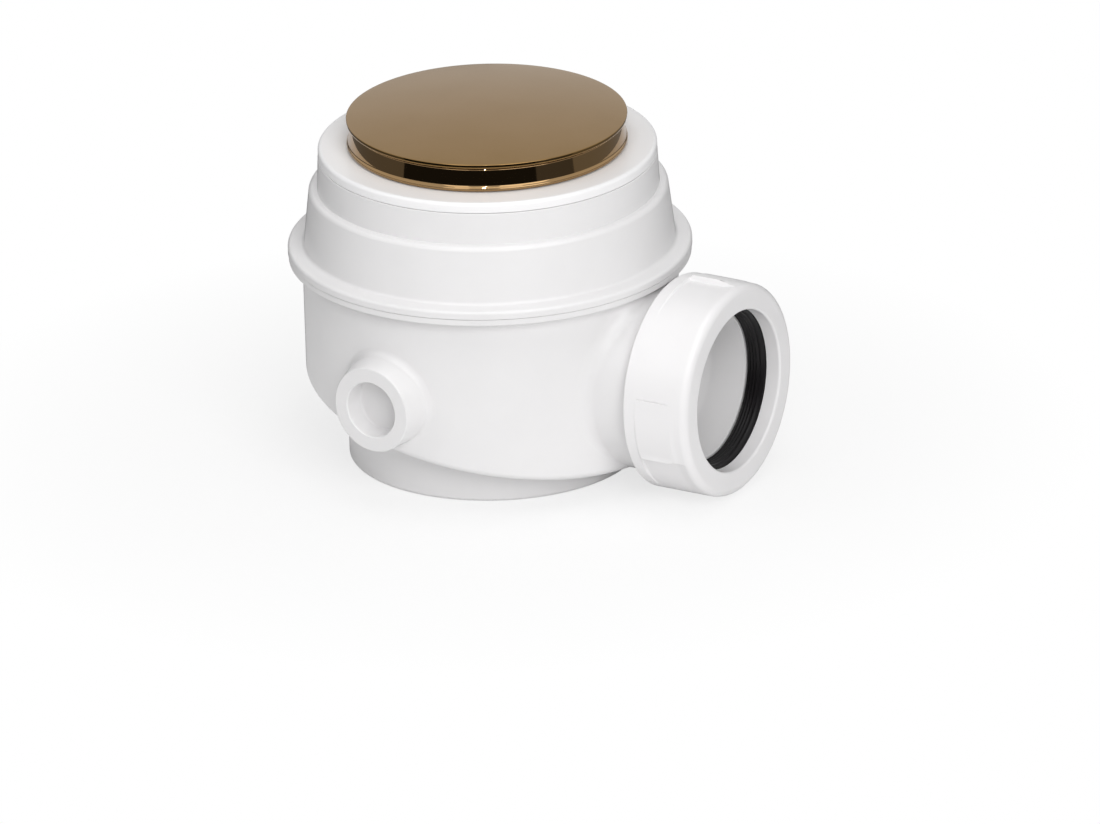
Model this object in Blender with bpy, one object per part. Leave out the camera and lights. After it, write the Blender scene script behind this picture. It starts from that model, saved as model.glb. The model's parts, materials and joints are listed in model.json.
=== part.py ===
"""Bath trap with a click-clack waste, in metres, +Z up.

The origin is the middle of the flat foot. The outlet points along +X and the blind boss close to -Y.
"""
import math

import bmesh
import bpy
from mathutils import Matrix

for leftover in list(bpy.data.objects):
    bpy.data.objects.remove(leftover, do_unlink=True)

# Clearances
TOUCH = 0.0003          # between two pieces that seat on each other
SLIDE = 0.0004          # round a piece that slides
THREAD = 0.0003         # between two threads, which are drawn smooth at their crests
OVERCUT = 0.002         # how far a cutter runs past the face that it opens
FULL_TURN = 2 * math.pi
LEVEL = math.radians(1) # a slope under this counts as level

# Fineness of the round pieces, in steps to a full turn
STEPS_LARGE = 48
STEPS_MEDIUM = 36
STEPS_BOSS = 28
STEPS_SMALL = 24        # a multiple of twelve, so that hexagons and teeth keep their corners
RAMP_STEPS = 4          # in a grip's ramp
PLAIN_STEPS = 11        # between a grip's ramp and the next grip's step
COIL_STEPS = 10         # in one turn of the spring

# Pipe and threads
PIPE_RADIUS = 0.0200    # 40 mm waste pipe
OUTLET_THREAD = PIPE_RADIUS + 0.0039
WASTE_THREAD = 0.0239   # 1 1/2 inch pipe thread

# Outlet neck
WALL = 0.0026
NECK_COLLAR = 0.0012    # step from the thread out to the plain neck
NECK_RADIUS = OUTLET_THREAD + NECK_COLLAR
NECK_FILLET = 0.0050
SMALLEST_BLEND = 0.0002 # what is left of a root's blend where it has no room
OUTLET_BORE = PIPE_RADIUS - 0.0018
NUT_RADIUS = OUTLET_THREAD + 0.0049
NUT_CLEARANCE = 0.0009  # between the nut and what the trap stands on

# Water seal. The pot is as high as the water seal or the nut needs
WATER_SEAL = 0.050      # depth of water that holds the smell back
TUBE_CLEARANCE = 0.012  # from the foot up to the inlet tube's open end
WEIR_RISE = 0.0044      # how far the weir stands above the pot's flange
NECK_HEADROOM = 0.0028  # between the neck and the top of the pot's flange
WEIR_DRAFT = math.radians(0.4)
HEIGHT_FOR_SEAL = TUBE_CLEARANCE + WATER_SEAL - WEIR_RISE - NECK_HEADROOM - NECK_RADIUS
OUTLET_HEIGHT = max(HEIGHT_FOR_SEAL, NUT_RADIUS + NUT_CLEARANCE)
POT_HEIGHT = OUTLET_HEIGHT + NECK_RADIUS + NECK_HEADROOM    # top of its flange
WEIR_TOP = POT_HEIGHT + WEIR_RISE
TUBE_FOOT = WEIR_TOP - WATER_SEAL

# Pot
POT_RADIUS = 0.0500
POT_DRAFT = math.radians(0.3)
POT_FLANGE_WIDTH = 0.0036
POT_FLANGE_RADIUS = POT_RADIUS + POT_FLANGE_WIDTH
POT_FLANGE_THICK = 0.0017
CHAMBER_WIDTH = 0.0085  # between the pot's wall and the cup, for the water that leaves
CUP_RADIUS = POT_RADIUS - WALL - CHAMBER_WIDTH  # the cup holds the water and is also the foot
CUP_FLOOR = 0.0026
FOOT_ROUND = 0.0010
FLOOR_SLOPE = math.radians(11.3)
FLOOR_DROP = 0.0059     # from the outlet's bore down to the floor's underside at its lowest
FLOOR_MIDDLE = OUTLET_HEIGHT - OUTLET_BORE - FLOOR_DROP + POT_RADIUS * math.tan(FLOOR_SLOPE)
FLOOR_ROUND = 0.0022

# Pipe socket, measured along the outlet from the trap's axis
PIPE_STOP = POT_RADIUS + 0.0060     # the pipe ends here
PIPE_DEPTH = 0.0197
NUT_FACE = PIPE_STOP + PIPE_DEPTH

# Outlet nut and its seal
NUT_LENGTH = 0.0195
NUT_FRONT = 0.0030      # thickness of its inturned front
NUT_ROUND = 0.0022
NUT_MOUTH = PIPE_RADIUS + 0.0017
MOUTH_ROUND = 0.0010    # rounding of the mouth's front edge
NUT_EDGE = 0.0006       # rounding of its small edges
NUT_GRIPS = 3
GRIP_RISE = 0.0010      # how far a grip's ramp stands out at its step
GRIP_SCOOP = 0.0010     # how deep the hollow at the foot of the step is
GRIP_ARC = math.radians(36)
SCOOP_ARC = math.radians(42)
GRIP_EDGE = math.radians(0.5)       # the little turn in which the step falls
GRIP_PHASE = math.radians(-62.5)    # the first grip's step, from straight down
GRIP_START = 0.0036     # from the back of the nut
GRIP_END = 0.0036       # from the front of the nut
SEAL_FLANGE = 0.0022
SEAL_SKIRT = 0.0036
SEAL_WALL = 0.0014
SEAL_LIPS = 4
SEAL_LIP_HEIGHT = 0.0005
SEAL_LIP_SHARE = 0.7    # of a lip's pitch, over which it falls back

# Blind boss
BOSS_RADIUS = 0.0118
BOSS_BORE = BOSS_RADIUS - 0.0041
BOSS_FACE = POT_RADIUS + 0.0060     # from the trap's axis
BOSS_DEPTH = 0.0060
BOSS_FILLET = 0.0030
BOSS_EDGE = 0.0005

# Cover, welded on the pot
COVER_FLANGE_RADIUS = POT_FLANGE_RADIUS + 0.0002
COVER_FLANGE_THICK = 0.0021
COVER_EDGE = 0.0009     # rounding of the flange's upper edge
COVER_ROOT = 0.0010     # fillet between the flange and the cone
COVER_CORNER = 0.0003   # rounding of the deck's edge
COVER_HEIGHT = 0.0266   # from its lower face to its deck
CONE_FOOT_RADIUS = POT_RADIUS - 0.0006
CONE_TOP_RADIUS = CONE_FOOT_RADIUS - 0.0015
CONE_HEIGHT = 0.0180    # from the cover's lower face to the top of the step
STEP_ROUND = 0.0015
STEP_WIDTH = 0.0027
DECK_RADIUS = CONE_TOP_RADIUS - STEP_WIDTH
DECK_WALL_FLARE = 0.0003
DECK_THICK = 0.0024
TONGUE_DEPTH = 0.0040   # the ring that drops inside the pot
TONGUE_THICK = 0.0013
HUB_WALL = 0.0030       # round the waste's thread
HUB_LENGTH = 0.0190
SHOULDER_THICK = 0.0024

# Inlet tube
TUBE_RADIUS = WASTE_THREAD - 0.0031
TUBE_WALL = 0.0018
TUBE_RIM = 0.0016
RING_SECTION = 0.0009   # radius of the section of its sealing ring

# Washer between the bath and the trap
WASHER_THICK = 0.0026
WASHER_ROUND = 0.0010
WASHER_RADIUS = DECK_RADIUS - 0.0001

# Waste flange
COLLAR_TOP_ROUND = 0.0003
COLLAR_RADIUS = WASTE_THREAD + 0.0127
FLANGE_RADIUS = COLLAR_RADIUS + 0.0008
FLANGE_LIP = 0.0017
COLLAR_HEIGHT = 0.0042
COLLAR_WALL = 0.0020
COLLAR_FILLET = 0.0008
BOWL_FLOOR = 0.0012     # thickness of the bowl over the groove
BOWL_FALL = 0.0010      # how far the bowl falls towards its throat
TAIL_WALL = 0.0027
GROOVE_INNER = WASTE_THREAD + 0.0036
GROOVE_WIDTH = 0.0055
GROOVE_DEPTH = 0.0014
ARM_COUNT = 4
ARM_WIDTH = 0.0032
ARM_HEIGHT = 0.0060
SOCKET_WALL = 0.0026

# Click-clack cartridge
TRAVEL = 0.008          # lift of the plug from closed to open
CLICK_PLAY = 0.0012     # further push that lets the latch turn
BARREL_RADIUS = 0.0070
BARREL_WALL = 0.0015
BARREL_TOP = 0.0015
HEX_FLATS = 0.0190      # across flats
HEX_THICK = 0.0040
STEM_RADIUS = 0.0030
CROWN_HEIGHT = 0.0030
ROTOR_HEIGHT = 0.0034
TOOTH_COUNT = 6
TOOTH_HEIGHT = 0.0012
SPRING_LENGTH = 0.0100
SPRING_TURNS = 5
WIRE_RADIUS = 0.00045
CLIP_THICK = 0.0012
CLIP_BORE = 0.0024

# Plug
CAP_RADIUS = COLLAR_RADIUS + 0.0008
CAP_EDGE = 0.0014
CAP_CROWN = 0.0023
CAP_ROUND = 0.0004
CAP_BOSS_RADIUS = 0.0056
CARRIER_RADIUS = COLLAR_RADIUS - 0.0076
CARRIER_GRIP = 0.0010   # thickness of the carrier's rim over the seal, and of its middle under it
PLUG_SEAL_WIDTH = 0.0052
PLUG_SEAL_THICK = 0.0016
LOCK_NUT_FLATS = 0.0110
LOCK_NUT_THICK = 0.0020

# Heights that follow, from the foot up
COVER_FOOT = POT_HEIGHT + TOUCH
DECK_TOP = COVER_FOOT + COVER_HEIGHT
WASHER_FOOT = DECK_TOP + TOUCH
WASHER_TOP = WASHER_FOOT + WASHER_THICK
FLANGE_FOOT = WASHER_TOP + TOUCH
LIP_TOP = FLANGE_FOOT + FLANGE_LIP
COLLAR_TOP = LIP_TOP + COLLAR_HEIGHT
CAP_FOOT = COLLAR_TOP + TOUCH
CAP_RIM_TOP = CAP_FOOT + CAP_EDGE
HUB_FOOT = DECK_TOP - HUB_LENGTH
SHOULDER_TOP = HUB_FOOT + SHOULDER_THICK
TUBE_RIM_FOOT = SHOULDER_TOP + TOUCH
TUBE_TOP = TUBE_RIM_FOOT + TUBE_RIM
TAIL_FOOT = TUBE_TOP + 2 * TOUCH + 2 * RING_SECTION
TAIL_BORE = WASTE_THREAD - TAIL_WALL
GROOVE_TOP = FLANGE_FOOT + GROOVE_DEPTH
BOWL_THROAT = GROOVE_TOP + BOWL_FLOOR


def paint(name, colour, roughness, metallic=0.0):
    """Give a Principled material of one colour."""
    finish = bpy.data.materials.new(name)
    finish.use_nodes = True
    shader = finish.node_tree.nodes["Principled BSDF"]
    shader.inputs["Base Color"].default_value = (*colour, 1.0)
    shader.inputs["Roughness"].default_value = roughness
    shader.inputs["Metallic"].default_value = metallic
    return finish


def arc(centre, radius, start, end, steps=5):
    """Points on a circle in the profile's plane, from one angle to another, in degrees."""
    turns = [math.radians(start + (end - start) * i / steps) for i in range(steps + 1)]
    return [(centre[0] + radius * math.cos(t), centre[1] + radius * math.sin(t)) for t in turns]


def even_angles(steps):
    """Angles that share a full turn evenly."""
    return [FULL_TURN * i / steps for i in range(steps)]


def turned(name, outline_at, angles, finish, lie=None):
    """Turn a profile about Z and lie it along another axis.

    outline_at gives, for an angle, the profile's (radius, height) points. A profile that starts
    and ends on the axis closes there, and any other one closes on itself as a ring does.
    """
    shape = bmesh.new()
    columns = []
    poles = {}
    for angle in angles:
        column = []
        outline = outline_at(angle)
        for row, (radius, height) in enumerate(outline):
            if radius == 0.0:
                if row not in poles:
                    poles[row] = shape.verts.new((0.0, 0.0, height))
                column.append(poles[row])
            else:
                column.append(shape.verts.new((radius * math.cos(angle), radius * math.sin(angle), height)))
        columns.append(column)
    rows = len(columns[0])
    spans = rows - 1 if poles else rows
    for index, column in enumerate(columns):
        beside = columns[(index + 1) % len(columns)]
        for row in range(spans):
            above = (row + 1) % rows
            corners = []
            for vertex in (column[row], column[above], beside[above], beside[row]):
                if vertex not in corners:
                    corners.append(vertex)
            shape.faces.new(corners)
    bmesh.ops.recalc_face_normals(shape, faces=shape.faces)
    bmesh.ops.triangulate(shape, faces=shape.faces)
    return as_object(name, shape, finish, lie)


def as_object(name, shape, finish, lie=None):
    """Store a bmesh as an object that is shaded smooth up to its edges."""
    mesh = bpy.data.meshes.new(name)
    shape.to_mesh(mesh)
    shape.free()
    if lie is not None:
        mesh.transform(lie)
    mesh.materials.append(finish)
    mesh.shade_smooth()
    mesh.set_sharp_from_angle(angle=math.radians(32))
    thing = bpy.data.objects.new(name, mesh)
    bpy.context.scene.collection.objects.link(thing)
    return thing


def ring(name, outline, steps, finish, lie=None):
    """Turn one profile evenly."""
    return turned(name, lambda angle: outline, even_angles(steps), finish, lie)


def helper(thing):
    """Mark a cutter or a tool, which is no piece of the trap."""
    thing.hide_render = True
    thing.display_type = "WIRE"
    return thing


def combine(thing, tool, operation):
    """Join a tool to a piece, or cut it away, and leave the result in the piece's own mesh."""
    helper(tool)
    step = thing.modifiers.new(tool.name, "BOOLEAN")
    step.object = tool
    step.operation = operation
    step.solver = "EXACT"


def block(name, size, centre, finish, spin=0.0):
    """A box, turned about Z."""
    shape = bmesh.new()
    bmesh.ops.create_cube(shape, size=1.0)
    place = Matrix.Rotation(spin, 4, "Z") @ Matrix.Translation(centre) @ Matrix.Diagonal((*size, 1.0))
    bmesh.ops.transform(shape, matrix=place, verts=shape.verts)
    return as_object(name, shape, finish)


def hexagon(name, flats, low, high, bore, finish):
    """A hexagonal ring with a round bore."""
    def outline(angle):
        facing = (angle + math.pi / 6) % (math.pi / 3) - math.pi / 6
        reach = flats / 2 / math.cos(facing)
        return [(bore, low), (reach, low), (reach, high), (bore, high)]
    return turned(name, outline, even_angles(STEPS_SMALL), finish)


# Materials
white_plastic = paint("white_plastic", (0.86, 0.86, 0.865), 0.32)
washer_plastic = paint("washer_plastic", (0.88, 0.88, 0.885), 0.38)
bronze = paint("bronze", (0.36, 0.25, 0.14), 0.22, 1.0)
black_rubber = paint("black_rubber", (0.016, 0.015, 0.016), 0.5)
brass = paint("brass", (0.62, 0.46, 0.22), 0.3, 1.0)
steel = paint("steel", (0.6, 0.6, 0.6), 0.3, 1.0)
grey_plastic = paint("grey_plastic", (0.25, 0.26, 0.27), 0.45)

OUTLET_FACING = 0.0
BOSS_FACING = math.radians(-95)


def lying(facing):
    """Lay a turned piece's axis level, at the outlet's height, facing an angle round the trap."""
    raised = Matrix.Translation((0, 0, OUTLET_HEIGHT))
    return Matrix.Rotation(facing, 4, "Z") @ raised @ Matrix.Rotation(math.pi / 2, 4, "Y")


def pot_radius(height):
    """Outside of the pot's wall, which tapers towards the foot."""
    return POT_RADIUS - (POT_HEIGHT - height) * math.tan(POT_DRAFT)


def floor_height(radius, angle):
    """Underside of the pot's floor, which falls towards the outlet."""
    return FLOOR_MIDDLE - radius * math.cos(angle) * math.tan(FLOOR_SLOPE)


def pot_outline(angle):
    """The hollow pot: foot, cup, sloping underside, wall and flange, and back inside over the weir."""
    wall_foot = pot_radius(floor_height(POT_RADIUS, angle))
    floor_edge = floor_height(wall_foot - FLOOR_ROUND, angle)
    lean = math.degrees(math.atan(math.cos(angle) * math.tan(FLOOR_SLOPE)))
    round_centre = (wall_foot - FLOOR_ROUND, floor_edge + FLOOR_ROUND / math.cos(math.radians(lean)))
    flange_foot = POT_HEIGHT - POT_FLANGE_THICK
    points = [(0.0, 0.0)]
    points += arc((CUP_RADIUS - FOOT_ROUND, FOOT_ROUND), FOOT_ROUND, -90, 0, 2)
    points.append((CUP_RADIUS, floor_height(CUP_RADIUS, angle)))
    points += arc(round_centre, FLOOR_ROUND, -90 - lean, 0, 3)
    points.append((pot_radius(flange_foot), flange_foot))
    points.append((POT_FLANGE_RADIUS, flange_foot))
    points.append((POT_FLANGE_RADIUS, POT_HEIGHT))

    floor_rise = WALL / math.cos(FLOOR_SLOPE)
    chamber_floor = floor_height(CUP_RADIUS, angle) + floor_rise
    weir = CUP_RADIUS - (WEIR_TOP - chamber_floor) * math.tan(WEIR_DRAFT)
    cup = CUP_RADIUS - WALL
    points.append((pot_radius(POT_HEIGHT) - WALL, POT_HEIGHT))
    points.append((wall_foot - WALL, floor_height(wall_foot - WALL, angle) + floor_rise))
    points += [(CUP_RADIUS, chamber_floor), (weir, WEIR_TOP), (cup, WEIR_TOP)]
    points += [(cup, CUP_FLOOR + FOOT_ROUND), (cup - FOOT_ROUND, CUP_FLOOR), (0.0, CUP_FLOOR)]
    return points


def branch(name, facing, radius, fillet, reach, edge, steps):
    """A round neck that grows out of the pot's wall with a blended root.

    The profile starts in the middle of the wall and follows its curve out to the blend. The blend
    narrows where the flange or the floor leaves it little room.
    """
    headroom = POT_HEIGHT - POT_FLANGE_THICK - OUTLET_HEIGHT
    legroom = OUTLET_HEIGHT - floor_height(POT_RADIUS, facing) - FLOOR_ROUND

    def outline(angle):
        rise = -math.cos(angle)
        sideways = math.sin(angle) ** 2
        wall = pot_radius(OUTLET_HEIGHT + radius * rise)
        room = (headroom if rise > 0 else legroom) / max(abs(rise), math.sin(LEVEL))
        blend = max(min(fillet, room - radius), SMALLEST_BLEND)
        foot = radius + blend
        for _ in range(20):
            out = math.sqrt(wall ** 2 - foot ** 2 * sideways)
            slope = foot * sideways / out
            length = math.hypot(1.0, slope)
            foot = radius + blend - blend * slope / length
        centre = (radius + blend, out + blend / length)
        meeting = math.degrees(math.atan2(-1.0, -slope))
        points = []
        for inner in (0.0, foot / 3, foot * 2 / 3, foot):
            points.append((inner, math.sqrt((wall - WALL / 2) ** 2 - inner ** 2 * sideways)))
        points += arc(centre, blend, meeting + 360, 180, 4)
        points += arc((radius - edge, reach - edge), edge, 0, 90, 2)
        points.append((0.0, reach))
        return points
    return turned(name, outline, even_angles(steps), white_plastic, lying(facing))


def build_trap_body():
    """The pot, its water cup, the outlet neck and the blind boss: one moulding."""
    body = turned("trap_body", pot_outline, even_angles(STEPS_LARGE), white_plastic)
    thread_start = NUT_FACE - NUT_LENGTH
    neck_edge = NECK_COLLAR / 3
    neck = branch("neck_tool", OUTLET_FACING, NECK_RADIUS, NECK_FILLET, thread_start, neck_edge, STEPS_MEDIUM)
    combine(body, neck, "UNION")
    seal_seat = NUT_FACE - NUT_FRONT - TOUCH - SEAL_FLANGE - TOUCH
    threaded = [(0.0, PIPE_STOP - WALL), (OUTLET_THREAD, PIPE_STOP - WALL)]
    threaded += arc((OUTLET_THREAD - NECK_COLLAR / 2, seal_seat - NECK_COLLAR / 2), NECK_COLLAR / 2, 0, 90, 2)
    threaded.append((0.0, seal_seat))
    combine(body, ring("thread_tool", threaded, STEPS_MEDIUM, white_plastic, lying(OUTLET_FACING)), "UNION")
    boss = branch("boss_tool", BOSS_FACING, BOSS_RADIUS, BOSS_FILLET, BOSS_FACE, BOSS_EDGE, STEPS_BOSS)
    combine(body, boss, "UNION")

    chamber_side = CUP_RADIUS + CHAMBER_WIDTH / 10
    skirt_room = OUTLET_THREAD - SEAL_WALL - TOUCH
    skirt_end = seal_seat - SEAL_SKIRT - TOUCH
    bore = [(0.0, chamber_side), (OUTLET_BORE, chamber_side), (OUTLET_BORE, PIPE_STOP)]
    bore += [(PIPE_RADIUS + TOUCH, PIPE_STOP), (PIPE_RADIUS + TOUCH, skirt_end), (skirt_room, skirt_end)]
    bore += [(skirt_room, seal_seat + OVERCUT), (0.0, seal_seat + OVERCUT)]
    outlet = ring("outlet_cutter", bore, STEPS_MEDIUM, white_plastic, lying(OUTLET_FACING))
    combine(body, outlet, "DIFFERENCE")
    blind = [(0.0, BOSS_FACE - BOSS_DEPTH), (BOSS_BORE - BOSS_EDGE, BOSS_FACE - BOSS_DEPTH)]
    blind += [(BOSS_BORE, BOSS_FACE - BOSS_DEPTH + BOSS_EDGE), (BOSS_BORE, BOSS_FACE + OVERCUT)]
    blind.append((0.0, BOSS_FACE + OVERCUT))
    combine(body, ring("boss_cutter", blind, STEPS_BOSS, white_plastic, lying(BOSS_FACING)), "DIFFERENCE")


def build_trap_cover():
    """The moulding on top of the pot: flange, cone, step, deck and the threaded hub."""
    low = COVER_FOOT
    tongue = pot_radius(POT_HEIGHT) - WALL - TOUCH
    inside = tongue - TONGUE_THICK
    thread = WASTE_THREAD + THREAD
    hub = thread + HUB_WALL
    shoulder = TUBE_RADIUS + TOUCH
    flange_top = low + COVER_FLANGE_THICK
    step_top = low + CONE_HEIGHT
    deck_under = DECK_TOP - DECK_THICK
    deck_inside = DECK_RADIUS - WALL
    edge_height = flange_top - COVER_EDGE
    root_height = flange_top + COVER_ROOT + COVER_EDGE / 4
    corner = (DECK_RADIUS - COVER_CORNER, DECK_TOP - COVER_CORNER)
    outline = [(tongue, low - TONGUE_DEPTH), (tongue, low), (COVER_FLANGE_RADIUS, low)]
    outline += arc((COVER_FLANGE_RADIUS - COVER_EDGE, edge_height), COVER_EDGE, 0, 78, 2)
    outline += arc((CONE_FOOT_RADIUS + COVER_ROOT, root_height), COVER_ROOT, 270, 180, 2)
    outline += arc((CONE_TOP_RADIUS - STEP_ROUND, step_top - STEP_ROUND), STEP_ROUND, 5, 82, 3)
    outline.append((DECK_RADIUS + DECK_WALL_FLARE, step_top + STEP_ROUND / 5))
    outline += arc(corner, COVER_CORNER, 0, 90, 1)
    outline += [(thread, DECK_TOP), (thread, SHOULDER_TOP), (shoulder, SHOULDER_TOP)]
    outline += [(shoulder, HUB_FOOT), (hub, HUB_FOOT), (hub, deck_under), (deck_inside, deck_under)]
    outline += [(deck_inside, step_top - WALL), (inside, step_top - WALL - 2 * STEP_ROUND)]
    outline.append((inside, low - TONGUE_DEPTH))
    ring("trap_cover", outline, STEPS_LARGE, white_plastic)


def build_inlet_tube():
    """The tube that dips into the water cup, hung on the cover's shoulder."""
    rim = WASTE_THREAD
    bore = TUBE_RADIUS - TUBE_WALL
    outline = [(bore, TUBE_TOP), (bore, TUBE_FOOT), (TUBE_RADIUS - TUBE_WALL / 2, TUBE_FOOT)]
    outline += [(TUBE_RADIUS, TUBE_FOOT + TUBE_WALL), (TUBE_RADIUS, TUBE_RIM_FOOT)]
    outline += [(rim, TUBE_RIM_FOOT), (rim, TUBE_TOP)]
    ring("inlet_tube", outline, STEPS_MEDIUM, white_plastic)
    middle = (rim - RING_SECTION - TAIL_WALL / 6, TUBE_TOP + TOUCH + RING_SECTION)
    ring("inlet_tube_o_ring", arc(middle, RING_SECTION, 0, 300, 5), STEPS_MEDIUM, black_rubber)


def build_bath_washer():
    """The thick washer that seals the trap to the underside of the bath."""
    bore = WASTE_THREAD + THREAD
    outline = [(bore, WASHER_TOP), (bore, WASHER_FOOT), (WASHER_RADIUS, WASHER_FOOT)]
    outline += arc((WASHER_RADIUS - WASHER_ROUND, WASHER_TOP - WASHER_ROUND), WASHER_ROUND, 0, 90, 3)
    ring("bath_washer", outline, STEPS_LARGE, washer_plastic)


def bowl_height(radius):
    """Top of the waste's bowl, which falls towards its throat."""
    throat = TAIL_BORE + BOWL_FALL
    return BOWL_THROAT + BOWL_FALL * (radius - throat) / (COLLAR_RADIUS - COLLAR_WALL - throat)


def build_waste_flange():
    """The plated waste: lip, collar, bowl, threaded tail and the cross that holds the cartridge."""
    collar_inside = COLLAR_RADIUS - COLLAR_WALL
    groove_outer = GROOVE_INNER + GROOVE_WIDTH
    lip_round = FLANGE_LIP / 2
    outline = [(TAIL_BORE, TAIL_FOOT), (WASTE_THREAD, TAIL_FOOT), (WASTE_THREAD, FLANGE_FOOT)]
    outline += [(GROOVE_INNER, FLANGE_FOOT), (GROOVE_INNER, GROOVE_TOP)]
    outline += [(groove_outer, GROOVE_TOP), (groove_outer, FLANGE_FOOT)]
    outline += arc((FLANGE_RADIUS - lip_round, FLANGE_FOOT + lip_round), lip_round, -90, 70, 4)
    fillet_centre = (COLLAR_RADIUS + COLLAR_FILLET, LIP_TOP + COLLAR_FILLET)
    outline += arc(fillet_centre, COLLAR_FILLET, 250, 180, 2)
    corner = (COLLAR_RADIUS - COLLAR_TOP_ROUND, COLLAR_TOP - COLLAR_TOP_ROUND)
    outline += arc(corner, COLLAR_TOP_ROUND, 0, 90, 1)
    outline += [(collar_inside, COLLAR_TOP), (collar_inside, bowl_height(collar_inside))]
    outline += [(TAIL_BORE + BOWL_FALL, BOWL_THROAT), (TAIL_BORE, BOWL_THROAT - BOWL_FALL)]
    flange = ring("waste_flange", outline, STEPS_LARGE, bronze)

    socket = BARREL_RADIUS + THREAD + SOCKET_WALL
    arm_top = TAIL_FOOT + ARM_HEIGHT
    arm_reach = TAIL_BORE + TAIL_WALL / 2
    for number in range(ARM_COUNT // 2):
        size = (2 * arm_reach, ARM_WIDTH, ARM_HEIGHT)
        spin = math.pi * number * 2 / ARM_COUNT
        arm = block("arm_tool_%d" % number, size, (0, 0, TAIL_FOOT + ARM_HEIGHT / 2), bronze, spin)
        combine(flange, arm, "UNION")
    round_hub = [(0.0, TAIL_FOOT - TOUCH / 3), (socket, TAIL_FOOT - TOUCH / 3), (socket, arm_top + TOUCH)]
    round_hub.append((0.0, arm_top + TOUCH))
    combine(flange, ring("socket_tool", round_hub, STEPS_SMALL, bronze), "UNION")
    hole = BARREL_RADIUS + THREAD
    round_hole = [(0.0, TAIL_FOOT - OVERCUT), (hole, TAIL_FOOT - OVERCUT), (hole, arm_top + OVERCUT)]
    round_hole.append((0.0, arm_top + OVERCUT))
    combine(flange, ring("socket_cutter", round_hole, STEPS_SMALL, bronze), "DIFFERENCE")

    inner = GROOVE_INNER + TOUCH
    outer = groove_outer - TOUCH
    low = WASHER_TOP + TOUCH
    high = GROOVE_TOP - TOUCH
    packing = [(inner, low), (outer, low), (outer, high), (inner, high)]
    ring("flange_seal", packing, STEPS_MEDIUM, black_rubber)


def build_plug():
    """The cover that is pushed with a finger or a foot, and what it carries below.

    Gives the height of the carrier's underside and of the stem's upper end.
    """
    seat = CARRIER_RADIUS - PLUG_SEAL_WIDTH / 2
    seal_inner = seat + TOUCH
    seal_outer = seal_inner + PLUG_SEAL_WIDTH
    seal_foot = bowl_height(seal_outer) + TOUCH
    seal_web = seal_foot + PLUG_SEAL_THICK / 3
    seal_top = seal_foot + PLUG_SEAL_THICK
    ledge = seal_top + TOUCH
    carrier_top = CAP_FOOT - TOUCH
    carrier_foot = ledge - CARRIER_GRIP
    boss_foot = carrier_foot + TOUCH

    stem_hole = STEM_RADIUS + THREAD
    hole_top = CAP_FOOT + CAP_EDGE / 3
    outline = [(0.0, hole_top), (stem_hole, hole_top), (stem_hole, boss_foot), (CAP_BOSS_RADIUS, boss_foot)]
    outline.append((CAP_BOSS_RADIUS, CAP_FOOT))
    outline += arc((CAP_RADIUS - CAP_ROUND, CAP_FOOT + CAP_ROUND), CAP_ROUND, -90, 0, 1)
    outline += arc((CAP_RADIUS - 2 * CAP_ROUND, CAP_RIM_TOP - 2 * CAP_ROUND), 2 * CAP_ROUND, 0, 80, 2)
    for share in (0.75, 0.5, 0.25, 0.0):
        outline.append((CAP_RADIUS * share, CAP_RIM_TOP + CAP_CROWN * (1 - share ** 2)))
    ring("plug_cap", outline, STEPS_LARGE, bronze)

    bore = CAP_BOSS_RADIUS + TOUCH
    outline = [(bore, carrier_foot), (seat, carrier_foot), (seat, ledge), (CARRIER_RADIUS, ledge)]
    outline += [(CARRIER_RADIUS, carrier_top), (bore, carrier_top)]
    ring("seal_carrier", outline, STEPS_MEDIUM, grey_plastic)

    outline = [(seal_inner, seal_web), (seal_inner + PLUG_SEAL_WIDTH / 2, seal_web), (seal_outer, seal_foot)]
    outline += [(seal_outer, seal_web), (seal_outer - PLUG_SEAL_WIDTH / 4, seal_top), (seal_inner, seal_top)]
    ring("plug_seal", outline, STEPS_MEDIUM, black_rubber)
    return carrier_foot, hole_top


def tooth_height(angle):
    """Height of the latch's ring of teeth at an angle."""
    return TOOTH_HEIGHT * abs((angle * TOOTH_COUNT / FULL_TURN) % 1.0 - 0.5) * 2


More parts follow.
